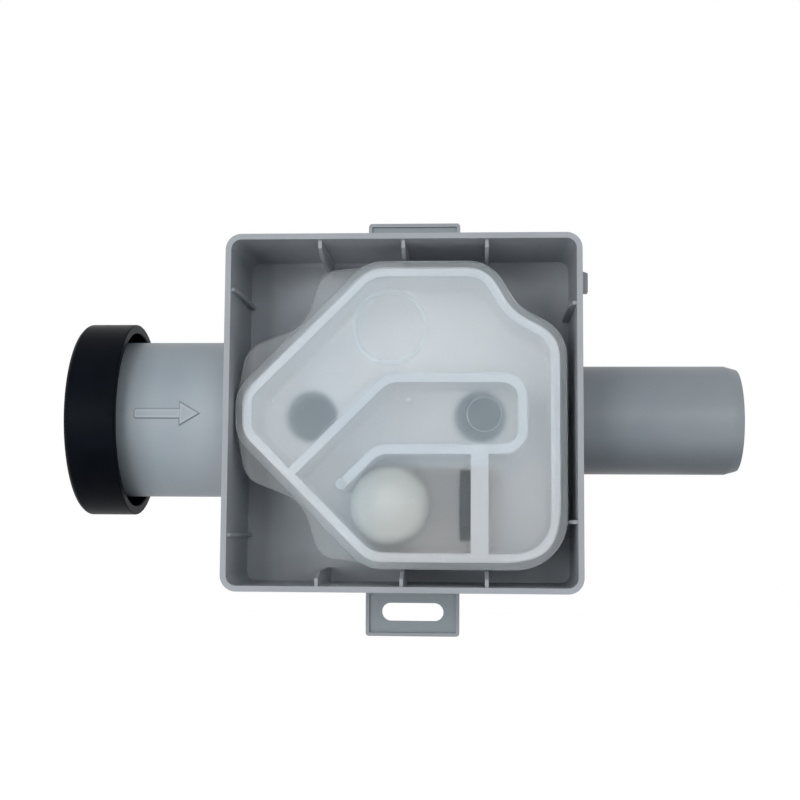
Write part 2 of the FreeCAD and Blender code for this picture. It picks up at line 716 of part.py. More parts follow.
# The labyrinth wall: up a slant from the lower left wall, round the outlet channel, and down a short slant.
upperLine = size.mazeHalf * stretch
upperX = size.mazeUpperX * stretch
lowerX = size.mazeLowerX * stretch
mazeRight = size.mazeRight * stretch
middleOfWall = shifted(shell, -size.trayWall.value / 2)
(lowX, lowZ, _), (leftX, leftZ, _) = middleOfWall[5:7]
slope = (leftZ - lowZ) / (leftX - lowX)
footX = (upperLine.value - upperX.value - lowZ + slope * lowX) / (slope - 1)
maze = [
    (footX, footX - upperX.value + upperLine.value, size.bondGap.value),
    plan(upperX, upperLine, size.mazeBend),
    plan(mazeRight, upperLine, size.mazeTurn),
    plan(mazeRight, -upperLine, size.mazeTurn),
    plan(lowerX, -upperLine, size.mazeBend),
    plan(lowerX - size.mazeLowerFall, -upperLine - size.mazeLowerFall, size.mazeWall * 0.49),
]

# The chamber of the float ball, which lies between the bottom wall and the labyrinth
chamberTop = -upperLine - size.mazeWall / 2
chamberFloor = shellBottom + size.trayWall
chamberZ = (chamberTop + chamberFloor) / 2 - size.ballSag
chamberHeight = (trayInside + flangeFront) / 2
ballDepth = flangeFront - trayInside - 2 * size.ballPlay
ballSize = smaller(ballDepth, chamberTop - chamberFloor - 2 * size.ballRoom)
besideSlant = (ballSize / 2 + size.mazeWall / 2 + size.ballRest) * math.sqrt(2)
ballX = chamberZ + lowerX + upperLine + besideSlant


# The cartridge's body: flange, outer wall, rear wall, labyrinth and two spigots
tray = newBody("cartridge_tray")
flangeBack = flangeFront - size.flangeThick
outline = addSketch(tray, "ShellOutline", "wall", trayBack)
addOutline(outline, shell)
addPad(tray, "Shell", outline, flangeFront - trayBack)
for name, corners in (("Flange", band), ("Lobes", lobes)):
    outline = addSketch(tray, f"{name}Outline", "wall", flangeBack)
    addOutline(outline, corners)
    addPad(tray, name, outline, size.flangeThick)
outline = addSketch(tray, "HollowOutline", "wall", flangeFront)
addOutline(outline, shifted(shell, -size.trayWall.value))
addPocket(tray, "Hollow", outline, flangeFront - trayInside)
outline = addSketch(tray, "MazeOutline", "wall", trayInside)
addOutline(outline, strip(maze, size.mazeWall.value))
addPad(tray, "Maze", outline, flangeFront - trayInside)
screenTop = -upperLine
screenFoot = shellBottom + size.trayWall / 2
outline = addSketch(tray, "ScreenOutline", "wall", trayInside)
addBlock(outline, screenLeft, screenFoot, screenRight, screenTop)
addPad(tray, "Screen", outline, flangeFront - trayInside)
seatHole = addSketch(tray, "SeatHoleOutline", "side", screenLeft)
addCircle(seatHole, -chamberHeight, chamberZ, size.seatNeck + 2 * size.seatFit)
addPocket(tray, "SeatHole", seatHole, size.screenThick, True)
for name, portX in ports:
    spigot = addSketch(tray, f"{name}SpigotOutline", "wall", trayBack + size.trayFloor / 2)
    addCircle(spigot, portX, portUp, spigotSize)
    addPad(tray, f"{name}Spigot", spigot, size.spigotReach + size.trayFloor / 2, True)
grooveSize = socketBore - 2 * size.sealRun - 2 * size.sealSection - 2 * size.grooveSlack
for name, portX in ports:
    groove = addSketch(tray, f"{name}GrooveOutline", "wall", trayBack - size.sealBack + size.grooveWide / 2)
    addCircle(groove, portX, portUp, spigotSize + 2 * size.spigotPlay)
    addCircle(groove, portX, portUp, grooveSize)
    addPocket(tray, f"{name}Groove", groove, size.grooveWide)
for name, portX in ports:
    bore = addSketch(tray, f"{name}BoreOutline", "wall", trayInside)
    addCircle(bore, portX, portUp, size.portBore)
    addPocket(tray, f"{name}Bore", bore, size.trayFloor + size.spigotReach)


# The cover bonded to the flange: a low band, the raised field, and the beads over the walls behind it
cover = newBody("cartridge_cover")
outline = addSketch(cover, "BandOutline", "wall", flangeFront)
addOutline(outline, band)
addPad(cover, "Band", outline, size.bandRise)
outline = addSketch(cover, "FieldOutline", "wall", flangeFront)
addOutline(outline, shell)
addPad(cover, "Field", outline, size.fieldRise + size.beadRise)
fieldFront = flangeFront + size.fieldRise
outline = addSketch(cover, "FieldPocketOutline", "wall", fieldFront + size.beadRise)
addOutline(outline, shifted(shell, -size.beadWide.value))
addPocket(cover, "FieldPocket", outline, size.beadRise)
halfField = size.fieldRise / 2
beadFoot = fieldFront - halfField
outline = addSketch(cover, "MazeBeadOutline", "wall", beadFoot)
addOutline(outline, strip(maze, size.mazeBead.value))
addPad(cover, "MazeBead", outline, halfField + size.beadRise)
outline = addSketch(cover, "ScreenBeadOutline", "wall", beadFoot)
addBlock(outline, screenLeft, screenFoot, screenRight, screenTop)
addPad(cover, "ScreenBead", outline, halfField + size.beadRise)
ringX = size.ringX * stretch
ringZ = size.ringZ * stretch
ring = addSketch(cover, "RingOutline", "wall", beadFoot)
addCircle(ring, ringX, ringZ, size.ringSize)
addCircle(ring, ringX, ringZ, size.ringSize - 2 * size.ringWide)
addPad(cover, "Ring", ring, halfField + size.beadRise / 2)


# The ball's rubber seat, pushed into the hole of its wall
seat = newBody("valve_seat")
profile = addSketch(seat, "SeatProfile", "wall", chamberHeight, 0, chamberZ)
seatFace = screenLeft - size.seatThick
mouthDepth = (size.seatMouth - size.seatBore) / 2
addPolygon(profile, [
    (seatFace, size.seatMouth / 2),
    (seatFace + mouthDepth, size.seatBore / 2),
    (screenRight, size.seatBore / 2),
    (screenRight, size.seatNeck / 2),
    (screenLeft, size.seatNeck / 2),
    (screenLeft, size.seatSize / 2),
    (seatFace, size.seatSize / 2),
])
addTurned(seat, "Seat", profile)


# The two seals on the spigots
for name, portX in ports:
    label = f"spigot_seal_{name.lower()}"
    seal = doc.addObject("Part::Torus", label)
    seal.Label = label
    bind(seal, "Radius1", socketBore / 2 - size.sealRun - size.sealSection / 2)
    bind(seal, "Radius2", size.sealSection / 2)
    seal.Placement = FreeCAD.Placement(FreeCAD.Vector(), FreeCAD.Rotation(FreeCAD.Vector(1, 0, 0), 90))
    bind(seal, "Placement.Base.x", portX)
    bind(seal, "Placement.Base.y", -(trayBack - size.sealBack))
    bind(seal, "Placement.Base.z", portUp)


# The float ball, off its seat as photographed
ball = doc.addObject("Part::Sphere", "float_ball")
ball.Label = "float_ball"
bind(ball, "Radius", ballSize / 2)
bind(ball, "Placement.Base.x", ballX)
bind(ball, "Placement.Base.y", -chamberHeight)
bind(ball, "Placement.Base.z", chamberZ)

doc.recompute()

for item in doc.Objects:
    if "Invalid" in item.State or "Error" in item.State:
        raise RuntimeError(f"{item.Name} did not build: {item.State}")
pieces = [item for item in doc.Objects if item.TypeId in ("PartDesign::Body", "Part::Torus", "Part::Sphere")]
for piece in pieces:
    if piece.Shape.isNull() or not piece.Shape.isValid():
        raise RuntimeError(f"{piece.Label} has no valid shape")
    piece.Shape.exportStep(f"parts/{piece.Label}.step")
    box = piece.Shape.BoundBox
    spans = ((box.XMin, box.XMax), (box.YMin, box.YMax), (box.ZMin, box.ZMax))
    reach = " ".join(f"{axis} {low:.2f}..{high:.2f}" for axis, (low, high) in zip("XYZ", spans))
    print(f"{piece.Label}: {len(piece.Shape.Solids)} solid, {piece.Shape.Volume / 1000:.2f} cm3, {reach}")
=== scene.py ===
# Condensate trap for building into a wall: grey box, pipes, black seal collar and the milky cartridge.
import math
import bpy
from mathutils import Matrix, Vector


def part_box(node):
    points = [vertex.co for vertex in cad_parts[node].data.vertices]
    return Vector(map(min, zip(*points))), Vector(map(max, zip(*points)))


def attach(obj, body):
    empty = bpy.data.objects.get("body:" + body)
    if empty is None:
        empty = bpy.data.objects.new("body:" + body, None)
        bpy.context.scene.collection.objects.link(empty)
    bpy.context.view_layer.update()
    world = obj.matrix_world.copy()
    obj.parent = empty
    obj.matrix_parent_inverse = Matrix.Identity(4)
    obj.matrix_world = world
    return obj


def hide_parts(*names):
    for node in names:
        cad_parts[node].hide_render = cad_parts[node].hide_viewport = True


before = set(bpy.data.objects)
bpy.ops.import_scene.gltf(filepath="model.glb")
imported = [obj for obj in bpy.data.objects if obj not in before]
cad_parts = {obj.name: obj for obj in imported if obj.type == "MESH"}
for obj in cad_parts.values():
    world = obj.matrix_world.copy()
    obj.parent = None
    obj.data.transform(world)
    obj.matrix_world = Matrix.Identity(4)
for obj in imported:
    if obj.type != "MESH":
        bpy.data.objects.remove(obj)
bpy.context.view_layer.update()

mm = 0.001
alongY = (math.radians(90), 0, 0)  # turns a new piece's axis from Z to Y


# Camera, fitted to the photograph's edges

camera = {
    "place": (20.72 * mm, -433.97 * mm, -31.53 * mm),
    "turn": (95.3288, -0.3633, 3.2589),  # degrees
    "lens": 61.142,
    "sensor": 36.0,
    "nearest": 10 * mm,
    "furthest": 20.0,
}


def addCamera(settings):
    bpy.ops.object.camera_add(
        location=settings["place"],
        rotation=[math.radians(angle) for angle in settings["turn"]],
    )
    cam = bpy.context.object
    cam.name = "photoCamera"
    cam.data.lens = settings["lens"]
    cam.data.sensor_width = settings["sensor"]
    cam.data.clip_start = settings["nearest"]
    cam.data.clip_end = settings["furthest"]
    bpy.context.scene.camera = cam


addCamera(camera)
print("camera placed")


# Shader maths

class Wire:  # a shader value that can be used in plain sums
    def __init__(self, finish, out):
        self.finish = finish
        self.out = out

    def __add__(self, other):
        return self.finish.maths("ADD", self, other)

    def __mul__(self, other):
        return self.finish.maths("MULTIPLY", self, other)

    def __sub__(self, other):
        return self.finish.maths("SUBTRACT", self, other)

    def __rsub__(self, other):
        return self.finish.maths("SUBTRACT", other, self)

    __radd__ = __add__
    __rmul__ = __mul__


class Finish:  # the nodes of one material, and the few kinds of node used here
    def __init__(self, name):
        self.material = bpy.data.materials.new(name)
        self.material.use_nodes = True
        self.tree = self.material.node_tree
        self.shader = self.tree.nodes["Principled BSDF"]
        self.place = self.node("ShaderNodeTexCoord", output="Object")

    def node(self, kind, settings=None, inputs=None, output=0):
        made = self.tree.nodes.new(kind)
        for key, value in (settings or {}).items():
            setattr(made, key, value)
        for key, value in (inputs or {}).items():
            self.plug(made.inputs[key], value)
        return Wire(self, made.outputs[output])

    def plug(self, socket, value):
        if isinstance(value, Wire):
            self.tree.links.new(value.out, socket)
        elif isinstance(value, tuple) and len(value) == 3 and socket.type == "RGBA":
            socket.default_value = (*value, 1)
        else:
            socket.default_value = value

    def set(self, shader, **values):
        for key, value in values.items():
            self.plug(shader.inputs[key.replace("_", " ")], value)

    def maths(self, operation, *values):
        return self.node("ShaderNodeMath", {"operation": operation}, dict(enumerate(values)))

    def along(self, axis):  # millimetres along X, Y or Z
        metres = self.node("ShaderNodeSeparateXYZ", inputs={"Vector": self.place}, output=axis)
        return metres * (1 / mm)

    def noise(self, scale, detail, stretch=None):
        place = self.place
        if stretch:
            place = self.node("ShaderNodeMapping", inputs={"Vector": place, "Scale": stretch})
        inputs = {"Vector": place, "Scale": scale, "Detail": detail}
        return self.node("ShaderNodeTexNoise", inputs=inputs)

    def ramp(self, value, low, high):  # rises from 0 at low to 1 at high
        return self.node("ShaderNodeMapRange", {"interpolation_type": "SMOOTHSTEP"}, {
            "Value": value, "From Min": low, "From Max": high, "To Min": 0.0, "To Max": 1.0,
        })

    def fall(self, value, low, high):  # falls from 1 at low to 0 at high
        return 1.0 - self.ramp(value, low, high)

    def patches(self, kind, stretch=None):  # noise cut to soft patches, 0 between them and 1 in them
        spots = self.noise(kind["scale"], kind["detail"], stretch)
        return self.ramp(spots, kind["low"], kind["high"])

    def least(self, first, second, soft=0.0):  # soft is the width over which the two are blended
        return self.maths("SMOOTH_MIN", first, second, soft)

    def most(self, first, second, soft=0.0):
        return self.maths("SMOOTH_MAX", first, second, soft)

    def size(self, value):
        return self.maths("ABSOLUTE", value)

    def length(self, across, up):
        return self.maths("SQRT", across * across + up * up)

    def radius(self, x, z, centre):  # distance from an axis along Y
        return self.length(x - centre[0], z - centre[1])

    def mixColours(self, factor, first, second):
        colours = {0: factor, 6: first, 7: second}  # the node's colours, as its output 2 is one
        return self.node("ShaderNodeMix", {"data_type": "RGBA"}, colours, output=2)

    def bump(self, height, depth, under=None):
        inputs = {"Height": height, "Strength": 1.0, "Distance": depth}
        if under:
            inputs["Normal"] = under
        return self.node("ShaderNodeBump", inputs=inputs)

    def grained(self, look):  # fine grain over slow waves
        waves = self.bump(self.noise(**look["waves"]), look["waveDepth"])
        return self.bump(self.noise(**look["grain"]), look["grainDepth"], waves)

    def show(self, surface):
        self.plug(self.tree.nodes["Material Output"].inputs["Surface"], surface)


# Opaque moulded plastic and rubber: soft clouds and streaks of colour, fine grain, slow waves

def mouldedPlastic(name, look, toned=None):
    finish = Finish(name)
    clouds = finish.patches(look["clouds"])
    streaks = finish.patches(look["streaks"], look["streakStretch"])
    scuffs = finish.patches(look["scuffs"], look["streakStretch"])
    colour = finish.mixColours(clouds, look["dark"], look["light"])
    colour = finish.mixColours(streaks * look["streakShare"], colour, look["worn"])
    # the piece's painted light and shade, where it gives them
    if toned:
        colour = toned(finish, look, colour)
    finish.set(
        finish.shader,
        Base_Color=colour,
        Roughness=clouds * look["roughSpread"] + scuffs * look["scuffRough"] + look["roughness"],
        Normal=finish.grained(look),
        Specular_IOR_Level=look["gloss"],
    )
    return finish.material


greyPlastic = {
    "dark": (0.315, 0.342, 0.371),
    "light": (0.342, 0.370, 0.400),
    "worn": (0.385, 0.41, 0.44),
    "clouds": {"scale": 45.0, "detail": 3, "low": 0.35, "high": 0.65},
    "streaks": {"scale": 70.0, "detail": 2, "low": 0.35, "high": 0.70},
    "streakStretch": (1.0, 0.12, 1.0),
    "streakShare": 0.25,
    "scuffs": {"scale": 260.0, "detail": 4, "low": 0.62, "high": 0.74},
    "scuffRough": 0.12,
    "grain": {"scale": 3200.0, "detail": 2},
    "grainDepth": 0.012 * mm,
    "waves": {"scale": 90.0, "detail": 2},
    "waveDepth": 0.10 * mm,
    "roughness": 0.40,
    "roughSpread": 0.06,
    "gloss": 0.35,
}


# Milky translucent plastic: a frosted clear share and a milky one, mixed by a veil that varies over it

def milkyPlastic(name, look, veilOf, toned=None):
    finish = Finish(name)
    clouds = finish.patches(look["clouds"])
    specks = finish.patches(look["specks"])
    surface = finish.grained(look)
    colour = finish.mixColours(clouds, look["cool"], look["warm"])
    colour = finish.mixColours(specks * look["speckShare"], colour, look["speck"])
    # the piece's painted light and shade, where it gives them
    if toned:
        colour = toned(finish, look, colour)
    clear = finish.tree.nodes.new("ShaderNodeBsdfPrincipled")
    finish.set(
        clear,
        Base_Color=finish.mixColours(clouds, look["clearCool"], look["clearWarm"]),
        Roughness=clouds * look["frostSpread"] + look["frost"],
        Normal=surface,
        IOR=look["ior"],
        Transmission_Weight=1.0,
        Specular_IOR_Level=look["gloss"],
    )
    finish.set(
        finish.shader,
        Base_Color=colour,
        Roughness=clouds * look["frostSpread"] + look["roughness"],
        Normal=surface,
        Specular_IOR_Level=look["gloss"],
    )
    finish.show(finish.node("ShaderNodeMixShader", inputs={
        0: veilOf(finish, look) + specks * look["speckVeil"],
        1: Wire(finish, clear.outputs[0]),
        2: Wire(finish, finish.shader.outputs[0]),
    }))
    return finish.material


# Tools for the pieces

meshing = {
    "merge": 0.002 * mm,  # points closer than this become one
    "flat": 0.5,  # faces that meet at less than this many degrees become one
    "sharp": 30,  # edges that turn by more degrees are rounded
    "steps": 2,  # in this many steps, unless the piece says otherwise
    "smooth": 35,  # edges that turn by fewer degrees are shaded as smooth
    "flatWeight": 80,  # how much more large faces count than small ones
    "near": 0.01 * mm,  # how far from its place a wanted point may lie
}


def deselectAll():
    if bpy.context.mode != "OBJECT":
        bpy.ops.object.mode_set(mode="OBJECT")
    bpy.ops.object.select_all(action="DESELECT")


def pick(piece):
    deselectAll()
    piece.select_set(True)
    bpy.context.view_layer.objects.active = piece


def openPiece(piece):  # in edit mode, with all of it selected
    pick(piece)
    bpy.ops.object.mode_set(mode="EDIT")
    bpy.ops.mesh.select_all(action="SELECT")


def closePiece():
    bpy.ops.object.mode_set(mode="OBJECT")


def selectPoints(piece, wanted):
    # Opens the piece in edit mode with only the points selected whose place is wanted.
    pick(piece)
    bpy.ops.object.mode_set(mode="EDIT")
    bpy.ops.mesh.select_mode(type="VERT")
    bpy.ops.mesh.select_all(action="DESELECT")
    bpy.ops.object.mode_set(mode="OBJECT")
    for point in piece.data.vertices:
        point.select = wanted(point.co)
    bpy.ops.object.mode_set(mode="EDIT")


def applyModifier(piece, name, kind, **settings):
    pick(piece)
    modifier = piece.modifiers.new(name, kind)
    for key, value in settings.items():
        setattr(modifier, key, value)
    bpy.ops.object.modifier_apply(modifier=name)


def mergePoints(piece):
    openPiece(piece)
    bpy.ops.mesh.remove_doubles(threshold=meshing["merge"])
    closePiece()


def mergedCopy(name, settings):
    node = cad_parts[settings["node"]]
    piece = bpy.data.objects.new(name, node.data.copy())
    bpy.context.scene.collection.objects.link(piece)
    mergePoints(piece)
    openPiece(piece)
    bpy.ops.mesh.dissolve_limited(angle_limit=math.radians(meshing["flat"]))
    closePiece()
    return piece


def newPiece(name):  # the piece that Blender has just added, with its place and turn applied to its mesh
    piece = bpy.context.object
    piece.name = name
    bpy.ops.object.transform_apply(location=True, rotation=True, scale=True)
    return piece


def roundEdges(piece, settings):
    # Roundings that meet on a narrow ridge leave flat slivers, which the merge takes away.
    applyModifier(
        piece, "roundEdges", "BEVEL",
        width=settings["edge"],
        segments=settings.get("steps", meshing["steps"]),
        limit_method="ANGLE",
        angle_limit=math.radians(meshing["sharp"]),
    )
    mergePoints(piece)


def smoothFaces(piece):
    pick(piece)
    bpy.ops.object.shade_smooth_by_angle(angle=math.radians(meshing["smooth"]))
    applyModifier(piece, "flatFaces", "WEIGHTED_NORMAL", keep_sharp=True, weight=meshing["flatWeight"])


def smoothAll(piece):
    pick(piece)
    bpy.ops.object.shade_smooth()


def finishPiece(piece, settings, material):
    piece.data.materials.clear()
    piece.data.materials.append(material)
    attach(piece, settings["body"])
    if "node" in settings:
        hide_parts(settings["node"])
    print("made", piece.name)


def makeMoulding(name, settings, material):
    piece = mergedCopy(name, settings)
    roundEdges(piece, settings)
    smoothFaces(piece)
    finishPiece(piece, settings, material)


# Wall box, its back cover and the fixing lugs, all of one grey plastic

boxShell = {
    "node": "wall_box",
    "body": "housing",
    "slot": "grey_abs",
    "edge": 0.3 * mm,
    "look": dict(
        greyPlastic,
        wallFrom=47.9,  # the recess's painted light and shade end inside its walls; all these places are in millimetres
        wallTo=48.3,
        floorFrom=-31.2,  # painted light makes the recess floor a little paler in its middle
        floorTo=-30.4,
        floorMiddle=38.0,
        floorRim=43.0,
        floorColour=(0.42, 0.465, 0.51),
        floorLightShare=0.5,
        sideFrom=-64.0,  # painted shade makes the recess darker towards its left side
        sideTo=-42.0,
        sideStart=-38.5,
        sideEnd=-43.5,
        sideShadeColour=(0.16, 0.185, 0.22),
        sideShadeShare=0.55,
        roofFrom=46.2,  # light from the cartridge falls on the middle of its upper wall
        roofTo=46.9,
        roofMiddle=-8.0,
        roofHalf=8.0,
        roofFade=24.0,
        roofColour=(0.49, 0.505, 0.55),
        clipFrom=49.5,  # painted shade makes the small clip on the right side darker
        clipTo=49.8,
        clipShadeColour=(0.17, 0.185, 0.20),
        clipShadeShare=0.7,
    ),
}


def boxPaintedLight(finish, look, colour):
    # Painted light and shade: a paler middle to the recess floor, light on the upper wall, a darker left
    # side and a darker clip.
    x, y, z = (finish.along(axis) for axis in "XYZ")
    aside = finish.most(finish.size(x), finish.size(z))
    deep = finish.ramp(y, look["sideFrom"], look["sideTo"])
    within = finish.fall(aside, look["wallFrom"], look["wallTo"]) * deep
    side = finish.fall(x, look["sideEnd"], look["sideStart"]) * within * look["sideShadeShare"]
    floor = finish.ramp(y, look["floorFrom"], look["floorTo"]) * look["floorLightShare"]
    middle = floor * finish.fall(aside, look["floorMiddle"], look["floorRim"])
    fromRoof = finish.size(x - look["roofMiddle"])
    roof = finish.ramp(z, look["roofFrom"], look["roofTo"]) * within
    roof = roof * finish.fall(fromRoof, look["roofHalf"], look["roofHalf"] + look["roofFade"])
    clipShade = finish.ramp(x, look["clipFrom"], look["clipTo"]) * look["clipShadeShare"]
    toned = finish.mixColours(middle, colour, look["floorColour"])
    toned = finish.mixColours(roof, toned, look["roofColour"])
    toned = finish.mixColours(side, toned, look["sideShadeColour"])
    return finish.mixColours(clipShade, toned, look["clipShadeColour"])


makeMoulding("boxShell", boxShell, mouldedPlastic("greyBoxPlastic", boxShell["look"], boxPaintedLight))

backPlate = {"node": "back_cover", "body": "housing", "slot": "grey_abs", "edge": 0.2 * mm}
makeMoulding("backPlate", backPlate, mouldedPlastic("greyCoverPlastic", greyPlastic))

topLug = {
    "node": "fixing_lug_top",
    "body": "housing",
    "slot": "grey_abs",
    "corner": 1.0 * mm,
    "cornerSteps": 4,
    "edge": 0.3 * mm,
    "look": dict(
        greyPlastic,
        fieldFrom=-3.6,  # painted shade makes the sunk field inside the border darker, in millimetres
        fieldTo=-2.6,
        fieldSoft=0.3,
        fieldShadeColour=(0.285, 0.33, 0.356),
    ),
}


def lugPaintedShade(finish, look, colour):
    y = finish.along("Y")
    field = finish.ramp(y, look["fieldFrom"], look["fieldFrom"] + look["fieldSoft"])
    field = field * finish.fall(y, look["fieldTo"] - look["fieldSoft"], look["fieldTo"])
    return finish.mixColours(field, colour, look["fieldShadeColour"])


def makeLug(name, settings, material):
    # The two corners away from the box are rounded before the other edges.
    piece = mergedCopy(name, settings)
    low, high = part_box(settings["node"])
    tip = high[2] if high[2] > -low[2] else low[2]
    near = meshing["near"]
    for side in (low[0], high[0]):
        selectPoints(piece, lambda place: abs(place.z - tip) < near and abs(place.x - side) < near)
        bpy.ops.mesh.bevel(offset=settings["corner"], segments=settings["cornerSteps"])
        closePiece()
    roundEdges(piece, settings)
    smoothFaces(piece)
    finishPiece(piece, settings, material)


lugMaterial = mouldedPlastic("greyLugPlastic", topLug["look"], lugPaintedShade)
makeLug("topLug", topLug, lugMaterial)

bottomLug = dict(topLug, node="fixing_lug_bottom")
makeLug("bottomLug", bottomLug, lugMaterial)


# Pipes, drawn with fine streaks along their length

outletTube = {
    "node": "outlet_pipe",
    "body": "housing",
    "slot": "pipe_grey",
    "edge": 0.2 * mm,
    "look": dict(
        greyPlastic,
        dark=(0.178, 0.209, 0.236),
        light=(0.200, 0.231, 0.258),
        worn=(0.24, 0.27, 0.30),
        streakStretch=(0.12, 1.0, 1.0),
        roughness=0.38,
        gloss=0.4,
        paleFrom=55.0,  # painted light makes it paler towards its end, and painted shade darker below, in millimetres
        paleTo=95.0,
        paleLightColour=(0.27, 0.305, 0.335),
        paleLightShare=0.6,
        lowFrom=-4.0,
        lowTo=-16.0,
        lowShadeColour=(0.06, 0.075, 0.09),
        lowShadeShare=0.85,
    ),
}


def outletPaintedLight(finish, look, colour):
    paleLight = finish.ramp(finish.along("X"), look["paleFrom"], look["paleTo"]) * look["paleLightShare"]
    low = finish.fall(finish.along("Z"), look["lowTo"], look["lowFrom"]) * look["lowShadeShare"]
    toned = finish.mixColours(paleLight, colour, look["paleLightColour"])
    return finish.mixColours(low, toned, look["lowShadeColour"])


outletMaterial = mouldedPlastic("outletPipePlastic", outletTube["look"], outletPaintedLight)
makeMoulding("outletTube", outletTube, outletMaterial)

inletTube = {
    "node": "inlet_pipe",
    "body": "housing",
    "slot": "pipe_grey",
    "edge": 0.12 * mm,
    "look": dict(
        greyPlastic,
        dark=(0.305, 0.355, 0.398),
        light=(0.335, 0.385, 0.428),
        worn=(0.375, 0.42, 0.46),
        streakStretch=outletTube["look"]["streakStretch"],
        roughness=0.42,
        gloss=0.3,
        arrowTail=-77.1,  # the raised arrow, in millimetres
        arrowTip=-58.7,
        arrowHead=5.4,
        arrowShaft=2.5,
        arrowWide=6.4,
        arrowUp=0.25,
        tailRound=0.6,
        frontFrom=-51.4,  # it lies in front of this depth
        frontTo=-51.0,
        lineWide=0.30,
        lineIn=(-0.3, 0.2),  # where the painted shade line begins and ends outside its outline, in widths
        lineOut=(0.6, 1.4),
        lineShadeColour=(0.10, 0.125, 0.145),
        lineShadeShare=0.75,
        upperShare=0.45,  # the line is weaker in the arrow's upper half
        halfSoft=0.4,
        glintIn=(-2.2, -1.4),  # and the painted highlight inside it
        glintOut=(-1.0, -0.4),
        glintColour=(0.50, 0.55, 0.59),
        glintShare=0.35,
        shadeFrom=-83.5,  # painted shade makes the pipe darker beside the collar, and painted light paler beside the box
        shadeTo=-70.0,
        shadeShare=0.65,
        shadeColour=(0.12, 0.14, 0.155),
        lowFrom=-3.0,  # the shade is deeper at the bottom
        lowTo=-17.0,
        lowShade=0.4,
        paleFrom=-68.0,
        paleTo=-51.0,
        paleLightColour=(0.46, 0.515, 0.555),
        paleLightShare=0.6,
    ),
}


def outsideArrow(finish, look, x, z):
    # Millimetres outside the outline of the raised arrow, negative inside it.
    height = finish.size(z)
    headBase = look["arrowTip"] - look["arrowHead"]
    soft = look["tailRound"]
    beyondTail = finish.most((look["arrowTail"] + soft) - x, 0.0)
    beyondSide = finish.most(height - (look["arrowShaft"] / 2 - soft), 0.0)
    shaft = finish.most(finish.length(beyondTail, beyondSide) - soft, x - headBase)
    slant = math.hypot(look["arrowHead"], look["arrowWide"] / 2)
    along, across = look["arrowWide"] / 2 / slant, look["arrowHead"] / slant
    head = finish.most((x - look["arrowTip"]) * along + height * across, headBase - x)
    return finish.least(shaft, head)


def arrowBand(finish, outside, wide, rise, fall):
    # A band along the arrow's outline, between two distances that are counted in its width.
    begun = finish.ramp(outside, rise[0] * wide, rise[1] * wide)
    return begun * finish.fall(outside, fall[0] * wide, fall[1] * wide)


def inletPaintedLight(finish, look, colour):
    # Painted shade in a fine dark line round the raised arrow, stronger below it, and a painted
    # highlight inside it.
    x, y, z = (finish.along(axis) for axis in "XYZ")
    z = z - look["arrowUp"]
    outside = outsideArrow(finish, look, x, z)
    shadeLine = arrowBand(finish, outside, look["lineWide"], look["lineIn"], look["lineOut"])
    glint = arrowBand(finish, outside, look["lineWide"], look["glintIn"], look["glintOut"])
    ahead = finish.fall(y, look["frontFrom"], look["frontTo"])
    below = finish.fall(z, -look["halfSoft"], look["halfSoft"])
    share = below * (look["lineShadeShare"] - look["upperShare"]) + look["upperShare"]
    deeper = finish.fall(z, look["lowTo"], look["lowFrom"]) * look["lowShade"] + 1.0
    shade = finish.fall(x, look["shadeFrom"], look["shadeTo"]) * deeper * look["shadeShare"]
    paleLight = finish.ramp(x, look["paleFrom"], look["paleTo"]) * look["paleLightShare"]
    toned = finish.mixColours(paleLight, colour, look["paleLightColour"])
    toned = finish.mixColours(shade, toned, look["shadeColour"])
    toned = finish.mixColours(shadeLine * ahead * share, toned, look["lineShadeColour"])
    return finish.mixColours(glint * ahead * look["glintShare"], toned, look["glintColour"])


inletMaterial = mouldedPlastic("inletPipePlastic", inletTube["look"], inletPaintedLight)
makeMoulding("inletTube", inletTube, inletMaterial)


# Black collar and rubber seal

collarRing = {
    "node": "inlet_collar",
    "body": "housing",
    "slot": "black_collar",
    "edge": 0.45 * mm,
    "steps": 3,
    "look": dict(
        greyPlastic,
        dark=(0.0015, 0.0025, 0.0045),
        light=(0.0035, 0.0050, 0.0080),
        worn=(0.009, 0.012, 0.017),
        roughness=0.34,
        gloss=0.025,
    ),
}
makeMoulding("collarRing", collarRing, mouldedPlastic("blackCollarPlastic", collarRing["look"]))

lipSeal = {
    "node": "inlet_seal",
    "body": "housing",
    "slot": "black_rubber",
    "edge": 0.35 * mm,
    "steps": 3,
    "look": dict(
        greyPlastic,
        dark=(0.010, 0.011, 0.012),
        light=(0.018, 0.019, 0.021),
        worn=(0.030, 0.031, 0.033),
        roughness=0.58,
        gloss=0.25,
        grainDepth=0.015 * mm,
    ),
}
rubberMaterial = mouldedPlastic("blackSealRubber", lipSeal["look"])
makeMoulding("lipSeal", lipSeal, rubberMaterial)

# The two spigot seals are shown as the solids give them.
for nodeName in ("spigot_seal_inlet", "spigot_seal_outlet"):
    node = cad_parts[nodeName]
    node.data.materials.clear()
    node.data.materials.append(rubberMaterial)


# Cartridge. Its raised shell is bounded by straight lines, in millimetres, which the milky finishes use.
# The soft widths round the corners between them as the solids' corners are rounded.

shellLines = {
    "top": 40.6,
    "bottom": -41.1,
    "right": 43.25,
    "left": -44.75,
    "upperSlant": 50.2,  # Z - X on the upper left slant
    "lowerSlant": 50.6,  # - X - Z on the lower left slant
    "notchTop": (23.2, 40.6),
    "notchDeep": (30.3, 28.2),
    "notchEnd": (43.25, 21.4),
    "notchSoft": 3.8,
    "topSoft": 7.7,
    "rightSoft": 8.2,
    "bottomSoft": 21.6,
    "slantSoft": 4.3,
    "leftSoft": 3.4,
}


def insideLine(x, z, start, end):
    # Distance of a point inside a straight line that runs clockwise round the shell.
    length = math.hypot(end[0] - start[0], end[1] - start[1])
    outX = -(end[1] - start[1]) / length
    outZ = (end[0] - start[0]) / length
    return (start[0] * outX + start[1] * outZ) - (x * outX + z * outZ)


